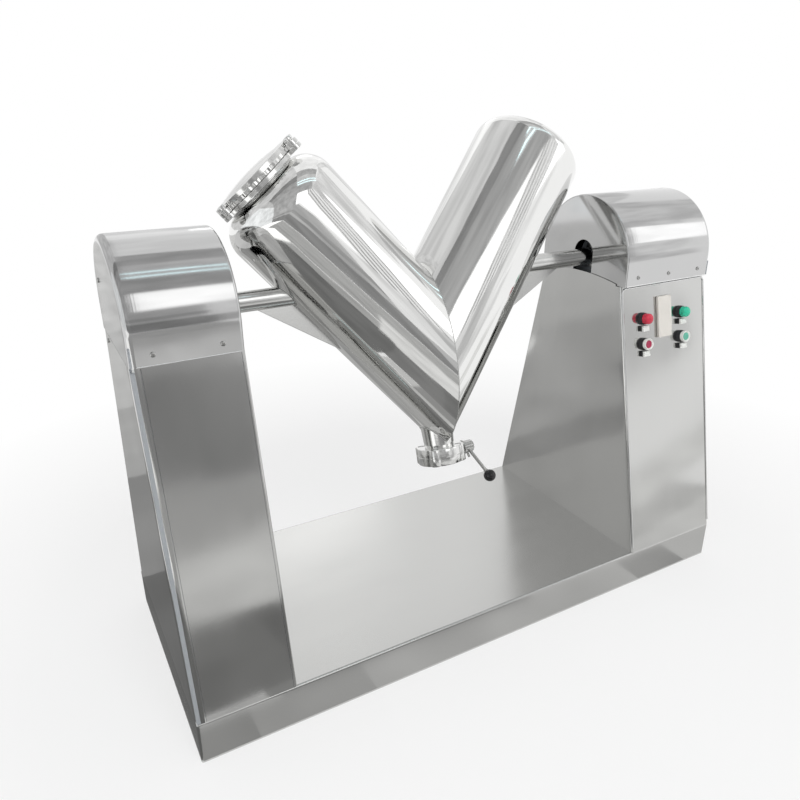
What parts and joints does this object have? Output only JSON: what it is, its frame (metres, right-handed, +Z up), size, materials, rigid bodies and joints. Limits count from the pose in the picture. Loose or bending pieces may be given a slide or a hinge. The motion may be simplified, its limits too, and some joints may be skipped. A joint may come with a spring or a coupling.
{
  "type": "v blender",
  "caption": "V-shaped stainless powder mixer on a shaft between two tapered pedestals, with a lidded charging neck, a lever butterfly valve and a small control panel.",
  "frame": {"origin": "centre of the base's underside", "axes": "+X along the shaft towards the drive pedestal, -Y towards the operator's side with the control panel, +Z up"},
  "size_m": [1.3048, 0.516, 1.0566],
  "materials": {
    "satin_sheet": "satin ground sheet",
    "polished_steel": "mirror polished stainless steel",
    "machined_steel": "turned stainless steel",
    "painted_frame": "grey primer",
    "cast_housing": "grey enamel on castings",
    "motor_paint": "blue-grey enamel",
    "black_plastic": "black moulded plastic",
    "seal_rubber": "pale silicone",
    "red_plastic": "gloss red",
    "green_plastic": "gloss green",
    "white_plastic": "white plastic",
    "cream_plate": "cream, bare"
  },
  "bodies": {
    "stand": {"base_plinth": "satin_sheet", "left_outer_panel": "satin_sheet", "left_inner_panel": "satin_sheet", "left_front_panel": "satin_sheet", "left_back_panel": "satin_sheet", "right_outer_panel": "satin_sheet", "right_inner_panel": "satin_sheet", "right_front_cover": "satin_sheet", "right_back_panel": "satin_sheet", "left_pedestal_frame": "painted_frame", "right_pedestal_frame": "painted_frame", "left_bearing_plate": "painted_frame", "right_bearing_plate": "painted_frame", "left_hood": "satin_sheet", "right_hood": "satin_sheet", "cover_screws": "machined_steel", "left_bearing_housing": "cast_housing", "right_bearing_housing": "cast_housing", "bearing_outer_races": "machined_steel", "bearing_bolts": "machined_steel", "reducer_housing": "cast_housing", "torque_arm": "painted_frame", "motor": "motor_paint", "device_bases": "black_plastic", "contact_blocks": "black_plastic", "red_lamp_lens": "red_plastic", "green_lamp_lens": "green_plastic", "button_rings": "white_plastic", "tag_holders": "black_plastic", "tag_inserts": "white_plastic", "blank_plate": "cream_plate"},
    "vessel": {"left_leg": "polished_steel", "right_leg": "polished_steel", "left_dished_end": "polished_steel", "right_dished_end": "polished_steel", "discharge_pipe": "polished_steel", "charging_neck": "polished_steel", "lid_hinge_pin": "machined_steel", "left_shaft": "polished_steel", "right_shaft": "polished_steel", "shaft_gussets": "polished_steel", "bearing_inner_races": "machined_steel", "reducer_hollow_shaft": "machined_steel", "shaft_key": "machined_steel", "shaft_end_cap": "machined_steel", "valve_body_upper": "machined_steel", "valve_body_lower": "machined_steel", "valve_seat": "seal_rubber", "valve_bolts": "machined_steel", "valve_index_plate": "machined_steel"},
    "lid": {"charging_lid": "polished_steel", "lid_gasket": "seal_rubber"},
    "outer_screw": {"lid_screw_outer": "machined_steel"},
    "inner_screw": {"lid_screw_inner": "machined_steel"},
    "valve": {"valve_disc": "machined_steel", "lever_hub": "machined_steel", "valve_lever": "machined_steel", "lever_ball": "black_plastic"},
    "red_button": {"red_button_cap": "red_plastic"},
    "green_button": {"green_button_cap": "green_plastic"}
  },
  "joints": [
    {"name": "vessel_spin", "type": "hinge", "parent": "stand", "child": "vessel", "pos_m": [0, 0, 0.751], "axis": [1, 0, 0], "continuous": true},
    {"name": "lid_hinge", "type": "hinge", "parent": "vessel", "child": "lid", "pos_m": [-0.34633, 0.15944, 0.93154], "axis": [-0.7632, -0.0137, -0.6461], "range_deg": [0, 100]},
    {"name": "outer_screw_pull", "type": "slide", "parent": "lid", "child": "outer_screw", "axis": [-0.632, 0.224, 0.7419], "range_m": [0, 0.01]},
    {"name": "inner_screw_pull", "type": "slide", "parent": "lid", "child": "inner_screw", "axis": [-0.632, 0.224, 0.7419], "range_m": [0, 0.01]},
    {"name": "valve_turn", "type": "hinge", "parent": "vessel", "child": "valve", "pos_m": [-0.063, -0.1057, 0.40091], "axis": [1, 0, 0], "range_deg": [0, 90]},
    {"name": "red_button_press", "type": "slide", "parent": "stand", "child": "red_button", "axis": [0, 0.9785, -0.2062], "range_m": [0, 0.004], "stiffness_N_per_m": 400},
    {"name": "green_button_press", "type": "slide", "parent": "stand", "child": "green_button", "axis": [0, 0.9785, -0.2062], "range_m": [0, 0.004], "stiffness_N_per_m": 400}
  ]
}
